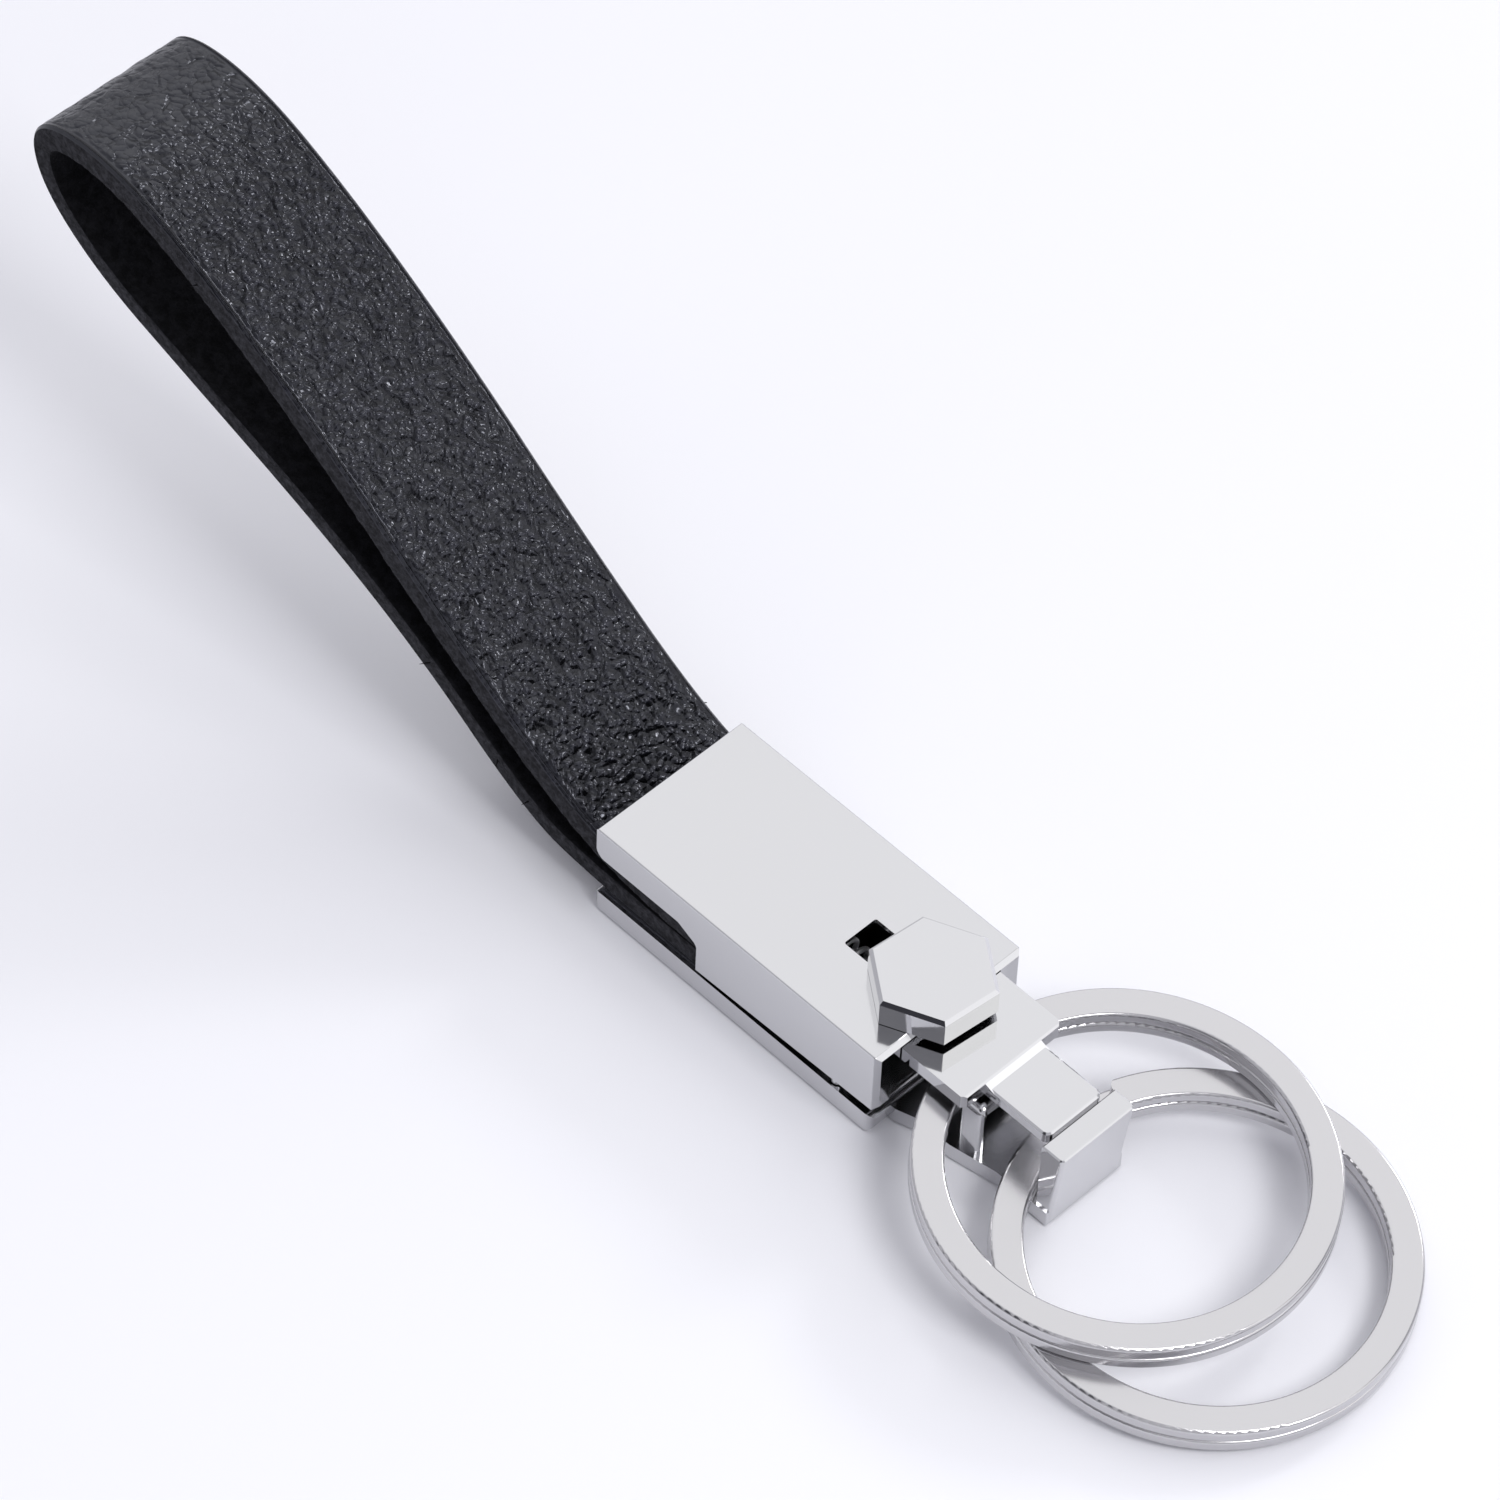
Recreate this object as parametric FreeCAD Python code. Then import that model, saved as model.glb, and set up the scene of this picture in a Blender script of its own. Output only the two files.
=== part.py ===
"""Leather-loop key fob with a spring-loaded gate lock and two flat split rings.

Frame: millimetres, +Z up. The origin is on the flat underside of the case, on its centre line,
where the ring tongue begins. The case runs back along -X, the tongue and the rings run along +X.
The fob lies on a flat surface: the case flat, the rings stacked on it, the leather loop rising.
"""

import FreeCAD
import Part

import math
import os

Vec = FreeCAD.Vector

# ---- Case: cast base frame and cast cover -------------------------------------------------
case_width = 15.0
case_length = 29.5
case_height = 9.3
case_front = 0.4             # the cover's front face, ahead of the origin
case_corner = 0.4            # chamfer of the cover's front corners
edge_break = 0.15            # polished-over sharp edges
top_wall = 0.4
side_wall = 1.4
base_thickness = 2.0
base_overhang = 0.3          # the base shows behind the cover
base_corner = 0.7
back_round = 0.9             # lower back corner of the cover's side walls
notch_bevel = 1.0            # slope that ends the side walls' notch for the leather
notch_round = 0.6
seam_back = 0.35             # gap under the cover's side wall where the leather ends
seam_front = 1.05            # the same gap at the front, where the cover is not screwed down

# ---- Tongue that carries the rings: one casting with the base -----------------------------
tongue_thickness = 1.5
tongue_root_width = 9.4
tongue_tip_width = 7.9
tongue_flare = 0.6           # extra half width where the tongue leaves the base
inner_slot = 5.0             # cover front to divider post: holds the inner ring
post_length = 2.35
post_width = 8.0
post_gap = 0.5               # under the gate
post_round = 0.7             # top edges
post_corner = 0.5            # upright edges
outer_slot = 5.65            # divider post to nose: holds the outer ring
nose_length = 2.1
nose_width = 7.6
nose_height = 8.45
nose_rake = 0.9              # the nose's front face leans back towards its foot
nose_chamfer = 0.12
nose_corner = 0.35           # its upright front edges

# ---- Slider: plate under the cover and gate bar over the outer slot -----------------------
slide_fit = 0.1
plate_width = 10.2
plate_thickness = 1.3
plate_overhang = 6.4         # plate ahead of the cover's front face
plate_tail = 7.0             # plate behind the cover's front face
plate_corner = 0.35
plate_edge = 0.15            # chamfer of the plate's front edge
gate_width = 5.8
gate_thickness = 1.0
gate_step = 0.35             # gate top below plate top
gate_bevel = 0.55
gate_tip_round = 0.6
gate_gap = 0.3               # gate tip to nose
travel = 5.4
lug_length = 1.6
lug_width = 4.0
lug_lift = 1.0               # lug above the base
ledge = 0.9                  # cover ledges that carry the plate's edges
ledge_thickness = 0.85

# ---- Thumb button -------------------------------------------------------------------------
button_side = 5.1
button_height = 2.45
button_chamfer = 0.28
button_lift = 0.06           # above the cover
button_turn = -6.0           # degrees: it sits slightly turned on its stem
button_ahead = 0.75          # button centre ahead of the stem's centre
stem_length = 2.6
stem_width = 3.1
slot_play = 0.1
slot_bridge = 1.3            # cover metal between the slot and the front face
button_screw_radius = 0.8
button_screw_head = 1.45
button_screw_head_height = 0.55
button_screw_reach = 0.8     # into the button
button_pilot_reach = 1.2     # its threaded hole
button_screw_groove = 0.4    # width of the driver groove

# ---- Return spring and its guide rod ------------------------------------------------------
rod_radius = 0.7
rod_fit = 0.05
rod_height = 4.7
wire_radius = 0.22
coil_radius = 1.55
coil_turns = 8.5
wall_thickness = 1.2         # the two cast walls that hold the rod
front_wall_setback = 1.0     # front rod wall behind the cover's front face

# ---- Leather strap: one strip folded into a loop ------------------------------------------
leather = 2.1
strap_width = 14.2
strap_grip = 10.7            # length clamped inside the case
strap_clearance = 0.1
level_run = 5.8              # the upper ply lies level this far from its end
bend_share = 0.45            # each bend takes up this share of the shorter run beside it
ply_gap = 0.15               # between the two plies where they are clamped

# ---- Screws from below that pull the cover onto the leather -------------------------------
screw_radius = 0.95
screw_head_radius = 1.8
screw_head_height = 0.9
screw_spacing = 7.4
screw_setback = 5.4          # behind the leather's inner end
screw_length = 5.6
recess_span = 2.2            # cross recess in the heads
recess_width = 0.4
recess_depth = 0.5
boss_radius = 1.8
boss_clearance = 0.25
thread_gap = 0.01
peg_radius = 0.5
peg_depth = 1.2
peg_setback = 4.5            # behind the cover's front face

# ---- Flat split rings: two coils of one flat strip each -----------------------------------
ring_diameter = 31.6
ring_band = 2.5
coil_thickness = 1.1
coil_gap = 0.1
coil_edge = 0.25
joggle_angle = 30.0          # the strip steps from the lower to the upper coil over this arc
end_gap_angle = 3.0
end_corner = 0.8
ring_clearance = 0.06
outer_ring_gap = 1.7         # divider post to the outer ring's nearest edge
outer_ring_shift = 1.5       # sideways, towards +Y
post_play = 0.3              # inner ring's bore to the divider post's back corners
inner_ring_shift = 0.9
outer_ring_end = 179.5       # where each ring's strip changes coil, round its own centre
inner_ring_end = 190.0
joggle_stations = 8          # sections the joggle is lofted through, less one

# ---- Modelling margins --------------------------------------------------------------------
past = 1.0                   # cutting tools run this far past the metal
root = 0.5                   # pieces of one casting run this far into each other

# ---- Places that follow from the sizes ----------------------------------------------------
cover_back = case_front - case_length
base_back = cover_back - base_overhang
half_width = case_width / 2
inner_half_width = half_width - side_wall
ceiling = case_height - top_wall
post_back = case_front + inner_slot
post_front = post_back + post_length
nose_back = post_front + outer_slot
nose_front = nose_back + nose_length
plate_top = ceiling - slide_fit
plate_bottom = plate_top - plate_thickness
plate_front = case_front + plate_overhang
plate_back = case_front - plate_tail
gate_top = plate_top - gate_step
gate_bottom = gate_top - gate_thickness
gate_tip = nose_back - gate_gap
post_top = gate_bottom - post_gap
channel_half_width = plate_width / 2 + slide_fit
ledge_half_width = plate_width / 2 - ledge
ledge_top = plate_bottom - slide_fit
ledge_bottom = ledge_top - ledge_thickness
strap_end = cover_back + strap_grip
lower_ply = base_thickness + leather / 2
upper_ply = lower_ply + leather + ply_gap
leather_top = upper_ply + leather / 2
screw_x = strap_end - screw_setback
slot_front = case_front - slot_bridge
stem_front = slot_front - slot_play / 2
stem_back = stem_front - stem_length
slot_back = stem_back - travel - slot_play / 2
stem_x = (stem_front + stem_back) / 2
button_x = stem_x + button_ahead
button_bottom = case_height + button_lift
front_wall_front = case_front - front_wall_setback
front_wall_back = front_wall_front - wall_thickness
peg_x = case_front - peg_setback
bulkhead_back = strap_end + slide_fit
bulkhead_front = bulkhead_back + wall_thickness
lug_back = plate_back
ring_radius = ring_diameter / 2
ring_bore = ring_radius - ring_band
ring_thickness = 2 * coil_thickness + coil_gap


def block(x0, x1, y0, y1, z0, z1):
    return Part.makeBox(x1 - x0, y1 - y0, z1 - z0, Vec(x0, y0, z0))


def centred_block(x0, x1, width, z0, z1):
    return block(x0, x1, -width / 2, width / 2, z0, z1)


def plan_prism(points, z0, z1):
    """A straight-sided solid from a plan outline of (x, y) points."""
    wire = Part.makePolygon([Vec(x, y, z0) for x, y in points + points[:1]])
    return Part.Face(wire).extrude(Vec(0, 0, z1 - z0))


def mirrored(points):
    """A plan outline from its +Y half, given from back to front."""
    return points + [(x, -y) for x, y in reversed(points)]


def rounded_outline(points, radii):
    """A closed wire through (x, z) points in the plane y = 0, each corner rounded to its radius."""
    count = len(points)
    corners = []
    for i in range(count):
        here = Vec(points[i][0], 0, points[i][1])
        before = Vec(points[i - 1][0], 0, points[i - 1][1])
        after = Vec(points[(i + 1) % count][0], 0, points[(i + 1) % count][1])
        back = (before - here).normalize()
        ahead = (after - here).normalize()
        radius = radii[i]
        if radius <= 0:
            corners.append((here, None, here))
            continue
        half_angle = back.getAngle(ahead) / 2
        reach = radius / math.tan(half_angle)
        middle = (back + ahead).normalize() * (radius / math.sin(half_angle) - radius)
        corners.append((here + back * reach, here + middle, here + ahead * reach))
    edges = []
    for i in range(count):
        start, middle, end = corners[i]
        if middle is not None:
            edges.append(Part.Arc(start, middle, end).toShape())
        edges.append(Part.LineSegment(end, corners[(i + 1) % count][0]).toShape())
    return Part.Wire(edges)


def side_prism(wire, width):
    """A solid from a wire in the plane y = 0, centred on that plane."""
    face = Part.Face(wire)
    face.translate(Vec(0, -width / 2, 0))
    return face.extrude(Vec(0, width, 0))


def upright(radius, x, y, z0, z1):
    return Part.makeCylinder(radius, z1 - z0, Vec(x, y, z0))


def along_x(radius, x0, x1, y, z):
    return Part.makeCylinder(radius, x1 - x0, Vec(x0, y, z), Vec(1, 0, 0))


def edges_with(shape, test):
    """Edges all of whose corner points pass the test."""
    return [e for e in shape.Edges if all(test(v.Point) for v in e.Vertexes)]


def near(a, b):
    return abs(a - b) < 1e-4


# ---- Leather strap ---------------------------------------------------------------------------
# Middle of the leather's thickness in the plane y = 0, from the upper end inside the case, up the
# top ply, round the loop and back along the lower ply. Each ply leaves the case and rises to the
# fold; a free point is (distance behind the cover, height above that ply where it is clamped).
upper_rise = [(4.1, 2.3), (17.1, 10.8), (30.3, 20.6), (42.9, 28.3), (53.2, 32.6), (61.6, 31.6)]
lower_rise = [
    (61.2, 28.15), (54.9, 23.05), (45.5, 19.75), (30.5, 14.55), (19.2, 9.15), (8.2, 1.45), (1.9, 0),
]
strap_route = [
    (strap_end, upper_ply),
    (strap_end - level_run, upper_ply),
    *[(cover_back - behind, upper_ply + above) for behind, above in upper_rise],
    *[(cover_back - behind, lower_ply + above) for behind, above in lower_rise],
    (strap_end, lower_ply),
]


def route_radii(route):
    """The largest arc that both runs at each point allow; none at the two ends."""
    radii = [0.0]
    for before, here, after in zip(route, route[1:], route[2:]):
        run_in = Vec(here[0] - before[0], 0, here[1] - before[1])
        run_out = Vec(after[0] - here[0], 0, after[1] - here[1])
        turn = run_in.getAngle(run_out)
        radii.append(bend_share * min(run_in.Length, run_out.Length) / math.tan(turn / 2))
    return radii + [0.0]


def offset_route(route, radii, distance):
    """The route moved sideways (positive to its left, seen from -Y), with its arcs kept concentric."""
    units = []
    for a, b in zip(route, route[1:]):
        run = Vec(b[0] - a[0], 0, b[1] - a[1]).normalize()
        units.append((run.x, run.z))
    moved = []
    new_radii = []
    for i, (x, z) in enumerate(route):
        before = units[max(i - 1, 0)]
        after = units[min(i, len(units) - 1)]
        cross = before[0] * after[1] - before[1] * after[0]
        dot = before[0] * after[0] + before[1] * after[1]
        scale = distance / (1 + dot)
        moved.append((x - scale * (before[1] + after[1]), z + scale * (before[0] + after[0])))
        turn_side = 0 if abs(cross) < 1e-9 else math.copysign(1, cross)
        new_radii.append(radii[i] - turn_side * distance if radii[i] > 0 else 0)
    return moved, new_radii


# ---- Base frame: plate, tongue, divider post, nose and the two rod walls -------------------
def make_base_frame():
    plate = centred_block(base_back, 0, case_width, 0, base_thickness)
    corners = edges_with(plate, lambda p: near(abs(p.y), half_width))
    plate = plate.makeFillet(base_corner, [e for e in corners if near(e.Vertexes[0].X, e.Vertexes[1].X)])

    root_half = tongue_root_width / 2
    tip_half = tongue_tip_width / 2
    tongue = plan_prism(
        mirrored(
            [
                (-base_corner, root_half + tongue_flare),
                (case_front, root_half + tongue_flare),
                (case_front + 3 * tongue_flare, root_half),
                (post_back, root_half),
                (post_front + outer_ring_gap, tip_half),
                (nose_front - nose_rake, tip_half),
            ]
        ),
        0,
        tongue_thickness,
    )
    post = centred_block(post_back, post_front, post_width, 0, post_top)
    post = post.makeFillet(post_corner, [e for e in post.Edges if near(e.Length, post_top)])
    post = post.makeFillet(post_round, edges_with(post, lambda p: near(p.z, post_top)))
    nose_outline = rounded_outline(
        [(nose_back, 0), (nose_back, nose_height), (nose_front, nose_height), (nose_front - nose_rake, 0)],
        [0, 0, 0, 0],
    )
    nose = side_prism(nose_outline, nose_width)
    raked_edges = edges_with(nose, lambda p: p.x > nose_back + nose_corner)
    raked_edges = [e for e in raked_edges if near(e.BoundBox.ZLength, nose_height)]
    nose = nose.makeFillet(nose_corner, raked_edges)
    nose = nose.makeChamfer(nose_chamfer, edges_with(nose, lambda p: near(p.z, nose_height)))

    wall_width = 2 * ledge_half_width - 2 * slide_fit
    wall_bottom = base_thickness - root
    wall_top = ledge_bottom - slide_fit
    front_wall = centred_block(front_wall_back, front_wall_front, wall_width, wall_bottom, wall_top)
    bulkhead = centred_block(bulkhead_back, bulkhead_front, wall_width, wall_bottom, wall_top)
    frame = plate.multiFuse([tongue, post, nose, front_wall, bulkhead]).removeSplitter()

    cuts = [along_x(rod_radius, bulkhead_back - past, front_wall_front + past, 0, rod_height)]
    hole_radius = screw_radius + thread_gap
    sink_radius = screw_head_radius + thread_gap
    peg_hole_bottom = base_thickness - peg_depth - slide_fit
    for side in (-1, 1):
        y = side * screw_spacing / 2
        cuts.append(upright(hole_radius, screw_x, y, -past, base_thickness + past))
        cuts.append(Part.makeCone(sink_radius, hole_radius, screw_head_height, Vec(screw_x, y, 0)))
        peg_y = side * (half_width - side_wall / 2)
        cuts.append(upright(peg_radius + slide_fit, peg_x, peg_y, peg_hole_bottom, base_thickness + past))
    return frame.cut(Part.makeCompound(cuts))


# ---- Cover: shell with a slider channel, button slot, strap mouth, bosses and pegs ----------
def make_top_cover():
    seam_slope = (seam_front - seam_back) / (case_front - strap_end)
    notch_top = leather_top - strap_clearance
    profile = rounded_outline(
        [
            (case_front, base_thickness + seam_front),
            (case_front, case_height),
            (cover_back, case_height),
            (cover_back, notch_top),
            (strap_end - 2 * notch_bevel, notch_top),
            (strap_end, notch_top - notch_bevel),
            (strap_end, base_thickness + seam_back),
        ],
        [0, 0, 0, back_round, 0, notch_round, 0],
    )
    cover = side_prism(profile, case_width)
    front_corners = edges_with(cover, lambda p: near(p.x, case_front) and near(abs(p.y), half_width))
    cover = cover.makeChamfer(case_corner, front_corners)
    cover = cover.makeFillet(edge_break, edges_with(cover, lambda p: near(p.z, case_height)))

    below = base_thickness - past
    beyond = case_front + past
    hollow_back = strap_end + side_wall / 2
    channel_back = plate_back - travel - 4 * slide_fit
    ply_radii = route_radii(strap_route)[:3] + [0]
    ply_top, ply_top_radii = offset_route(strap_route[:4], ply_radii, -leather / 2 - strap_clearance)
    mouth = rounded_outline(
        [(hollow_back, below), (hollow_back, ply_top[0][1])] + ply_top[1:] + [(ply_top[3][0], below)],
        [0, 0] + ply_top_radii[1:] + [0],
    )
    cuts = [
        side_prism(mouth, strap_width + strap_clearance),
        centred_block(hollow_back, beyond, 2 * inner_half_width, below, ledge_bottom),
        centred_block(channel_back, beyond, 2 * channel_half_width, ledge_top, ceiling),
        centred_block(hollow_back, beyond, 2 * ledge_half_width, ledge_bottom - past, ledge_top + past),
        centred_block(case_front - side_wall / 2, beyond, 2 * channel_half_width, below, ledge_top + past),
    ]
    slot_width = stem_width + 2 * slot_play
    slot_height = case_height + past - (ceiling - past)
    slot = centred_block(slot_back, slot_front, slot_width, ceiling - past, case_height + past)
    slot_corners = [e for e in slot.Edges if near(e.BoundBox.ZLength, slot_height)]
    cuts.append(slot.makeFillet(2 * slot_play, slot_corners))
    cover = cover.cut(Part.makeCompound(cuts))

    peg_top = base_thickness + seam_back + seam_slope * (peg_x - strap_end) + past
    added = []
    pilots = []
    for side in (-1, 1):
        y = side * screw_spacing / 2
        added.append(upright(boss_radius, screw_x, y, base_thickness, leather_top + past))
        pilots.append(upright(screw_radius + thread_gap, screw_x, y, below, screw_length + 2 * slide_fit))
        peg_y = side * (half_width - side_wall / 2)
        added.append(upright(peg_radius, peg_x, peg_y, base_thickness - peg_depth, peg_top))
    return cover.multiFuse(added).removeSplitter().cut(Part.makeCompound(pilots))


# ---- Slider: plate, gate bar and the lug that rides on the rod -----------------------------
def make_slider_gate():
    plate = plan_prism(
        mirrored(
            [
                (plate_back, plate_width / 2),
                (plate_front - plate_corner, plate_width / 2),
                (plate_front, plate_width / 2 - plate_corner),
            ]
        ),
        plate_bottom,
        plate_top,
    )
    front_edge = edges_with(plate, lambda p: near(p.x, plate_front) and near(p.z, plate_top))
    plate = plate.makeChamfer(plate_edge, front_edge)
    gate_outline = rounded_outline(
        [
            (plate_front - gate_bevel, gate_bottom),
            (plate_front - gate_bevel, plate_top),
            (plate_front - plate_edge, plate_top),
            (plate_front, plate_top - plate_edge),
            (plate_front + gate_bevel, gate_top),
            (gate_tip, gate_top),
            (gate_tip, gate_bottom),
        ],
        [0] * 7,
    )
    gate = side_prism(gate_outline, gate_width)
    tip_corners = edges_with(gate, lambda p: near(p.x, gate_tip))
    tip_corners = [e for e in tip_corners if near(e.BoundBox.ZLength, gate_thickness)]
    gate = gate.makeFillet(gate_tip_round, tip_corners)
    tip_start = gate_tip - gate_tip_round - edge_break
    tip_edges = edges_with(gate, lambda p: near(p.z, gate_top) and p.x > tip_start)
    gate = gate.makeChamfer(edge_break, tip_edges)
    lug_front = lug_back + lug_length
    lug = centred_block(lug_back, lug_front, lug_width, base_thickness + lug_lift, plate_bottom + root)
    slider = plate.multiFuse([gate, lug]).removeSplitter()
    slider = slider.cut(along_x(rod_radius + rod_fit, lug_back - past, lug_front + past, 0, rod_height))
    head_top = plate_bottom + button_screw_head_height
    shank = upright(button_screw_radius + thread_gap, stem_x, 0, plate_bottom - past, plate_top + past)
    head = upright(button_screw_head + slide_fit, stem_x, 0, plate_bottom - past, head_top)
    return slider.cut(Part.makeCompound([shank, head]))


# ---- Thumb button: hexagon with a stem that stands on the slider plate ---------------------
def make_thumb_button():
    corner_angles = [math.radians(30 + 60 * k) for k in range(6)]
    corners = [(button_side * math.cos(a), button_side * math.sin(a)) for a in corner_angles]
    top = button_bottom + button_height
    hexagon = plan_prism(corners, button_bottom, top)
    hexagon = hexagon.makeChamfer(button_chamfer, edges_with(hexagon, lambda p: near(p.z, top)))
    hexagon.rotate(Vec(0, 0, 0), Vec(0, 0, 1), button_turn)
    hexagon.translate(Vec(button_x, 0, 0))
    stem = centred_block(stem_back, stem_front, stem_width, plate_top, button_bottom + root)
    pilot_top = button_bottom + button_pilot_reach
    pilot = upright(button_screw_radius + thread_gap, stem_x, 0, plate_top - past, pilot_top)
    return hexagon.fuse(stem).removeSplitter().cut(pilot)


def make_button_screw():
    head = upright(button_screw_head, stem_x, 0, plate_bottom, plate_bottom + button_screw_head_height)
    shank = upright(button_screw_radius, stem_x, 0, plate_bottom, button_bottom + button_screw_reach)
    groove_top = plate_bottom + button_screw_head_height / 2
    groove_ends = (stem_x - button_screw_head - past, stem_x + button_screw_head + past)
    groove = centred_block(*groove_ends, button_screw_groove, plate_bottom - past, groove_top)
    return head.fuse(shank).removeSplitter().cut(groove)


# ---- Return spring and rod -----------------------------------------------------------------
def make_return_spring():
    start = bulkhead_front + wire_radius + slide_fit
    length = lug_back - wire_radius - slide_fit - start
    helix = Part.makeHelix(length / coil_turns, length, coil_radius)
    ring = Part.Wire(Part.makeCircle(wire_radius, Vec(coil_radius, 0, 0), Vec(0, 1, 0)))
    spring = Part.Wire(helix.Edges).makePipeShell([ring], True, True)
    spring.rotate(Vec(0, 0, 0), Vec(0, 1, 0), 90)
    spring.translate(Vec(start, 0, rod_height))
    return Part.Solid(spring.Shells[0])


def make_spring_guide_rod():
    return along_x(rod_radius, bulkhead_back, front_wall_front, 0, rod_height)


# ---- The strap itself ----------------------------------------------------------------------
def make_leather_strap():
    radii = route_radii(strap_route)
    inner, inner_radii = offset_route(strap_route, radii, leather / 2)
    outer, outer_radii = offset_route(strap_route, radii, -leather / 2)
    wire = rounded_outline(inner + outer[::-1], inner_radii + outer_radii[::-1])
    strap = side_prism(wire, strap_width)
    holes = [
        upright(boss_radius + boss_clearance, screw_x, side * screw_spacing / 2, 0, case_height)
        for side in (-1, 1)
    ]
    return strap.cut(Part.makeCompound(holes))


# ---- Cover screws: two countersunk screws from below -----------------------------------------
def make_cover_screws():
    screws = []
    for side in (-1, 1):
        y = side * screw_spacing / 2
        head = Part.makeCone(screw_head_radius, screw_radius, screw_head_height, Vec(screw_x, y, 0))
        shank = upright(screw_radius, screw_x, y, screw_head_height, screw_length)
        screw = head.fuse(shank).removeSplitter()
        for turn in (0, 90):
            arm = centred_block(-recess_span / 2, recess_span / 2, recess_width, -past, recess_depth)
            arm.rotate(Vec(0, 0, 0), Vec(0, 0, 1), turn)
            arm.translate(Vec(screw_x, y, 0))
            screw = screw.cut(arm)
        screws.append(screw)
    return Part.makeCompound(screws)


# ---- Split rings --------------------------------------------------------------------------------
def strip_section(level):
    """The flat strip's section in the plane y = 0, at the ring's +X side, its underside at a level."""
    corners = [
        (ring_bore, level),
        (ring_radius, level),
        (ring_radius, level + coil_thickness),
        (ring_bore, level + coil_thickness),
    ]
    return rounded_outline(corners, [coil_edge] * 4)


def end_corners(angle, level, direction):
    """Cutters that round the two corners of a strip end at an angle; direction points past the end."""
    centre_y = -direction * end_corner
    y_back, y_ahead = sorted((0, centre_y))
    top = level + coil_thickness
    cutters = []
    for edge, inward in ((ring_radius, -1), (ring_bore, 1)):
        centre_x = edge + inward * end_corner
        x_low, x_high = sorted((edge - inward * coil_edge, centre_x))
        corner = block(x_low, x_high, y_back, y_ahead, level, top)
        pin = upright(end_corner, centre_x, centre_y, level - past, top + past)
        cutter = corner.cut(pin)
        cutter.rotate(Vec(0, 0, 0), Vec(0, 0, 1), angle)
        cutters.append(cutter)
    return cutters


def make_split_ring(end_angle):
    """Lower coil, joggle and upper coil, round +Z, the joggle centred on end_angle."""
    step = coil_thickness + coil_gap
    coil_angle = 360 - joggle_angle - end_gap_angle
    axis = Vec(0, 0, 1)
    origin = Vec(0, 0, 0)
    joggle_start = -joggle_angle / 2
    joggle_end = joggle_angle / 2

    lower = Part.Face(strip_section(0)).revolve(origin, axis, coil_angle)
    lower.rotate(origin, axis, joggle_start - coil_angle)
    upper = Part.Face(strip_section(step)).revolve(origin, axis, coil_angle)
    upper.rotate(origin, axis, joggle_end)
    sections = []
    for k in range(joggle_stations + 1):
        share = k / joggle_stations
        section = strip_section(step * (1 - math.cos(math.pi * share)) / 2)
        section.rotate(origin, axis, joggle_start + joggle_angle * share)
        sections.append(section)
    joggle = Part.makeLoft(sections, True, False)
    ring = lower.multiFuse([joggle, upper])
    cutters = end_corners(joggle_start - coil_angle, 0, -1) + end_corners(joggle_end + coil_angle, step, 1)
    ring = ring.cut(Part.makeCompound(cutters))
    ring.rotate(origin, axis, end_angle)
    return ring


def ring_rest():
    """Tilt of the stacked rings and the outer ring's centre: its far side lies on the surface and
    its near side on the tongue."""
    centre_x = post_front + outer_ring_gap + ring_radius
    reach_y = tongue_tip_width / 2 + outer_ring_shift
    contact_x = centre_x - math.sqrt(ring_bore**2 - reach_y**2)
    far_x = centre_x + ring_radius
    tilt = math.atan((tongue_thickness + ring_clearance) / (far_x - contact_x))
    return tilt, Vec(centre_x, outer_ring_shift, ring_radius * math.sin(tilt))


def placed_ring(ring, centre, tilt):
    ring.rotate(Vec(0, 0, 0), Vec(0, 1, 0), math.degrees(tilt))
    ring.translate(centre)
    return ring


def make_ring_outer():
    tilt, centre = ring_rest()
    return placed_ring(make_split_ring(outer_ring_end), centre, tilt)


def make_ring_inner():
    """It lies on the outer ring, parallel to it, or leans on it where the plate keeps its near
    side down."""
    tilt, outer_centre = ring_rest()
    reach_y = post_width / 2 + inner_ring_shift
    back = outer_centre.x - (post_back - post_play + math.sqrt(ring_bore**2 - reach_y**2))
    rise = Vec(math.sin(tilt), 0, math.cos(tilt)) * (ring_thickness + ring_clearance)
    along = Vec(-math.cos(tilt), 0, math.sin(tilt)) * (back / math.cos(tilt))
    sideways = Vec(0, inner_ring_shift - outer_ring_shift, 0)
    centre = outer_centre + along + rise + sideways
    ring = placed_ring(make_split_ring(inner_ring_end), centre, tilt)
    near_top = centre.z + ring_radius * math.sin(tilt) + ring_thickness
    leaning_x = (centre.x + outer_centre.x) / 2 - (ring_radius**2 - ring_bore**2) / (2 * back)
    near_x = centre.x - ring_radius
    drop = max(0, near_top - (plate_bottom - 2 * ring_clearance))
    lean = math.degrees(math.asin(drop / (leaning_x - near_x)))
    ring.rotate(Vec(leaning_x, 0, centre.z), Vec(0, 1, 0), -lean)
    return ring


parts = {
    "base_frame": make_base_frame,
    "top_cover": make_top_cover,
    "slider_gate": make_slider_gate,
    "thumb_button": make_thumb_button,
    "button_screw": make_button_screw,
    "return_spring": make_return_spring,
    "spring_guide_rod": make_spring_guide_rod,
    "leather_strap": make_leather_strap,
    "cover_screws": make_cover_screws,
    "ring_inner": make_ring_inner,
    "ring_outer": make_ring_outer,
}

os.makedirs("parts", exist_ok=True)
for name, make in parts.items():
    shape = make()
    print(f"{name}: {len(shape.Solids)} solid(s), {shape.Volume:.1f} mm3, valid {shape.isValid()}")
    shape.exportStep(f"parts/{name}.step")
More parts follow.
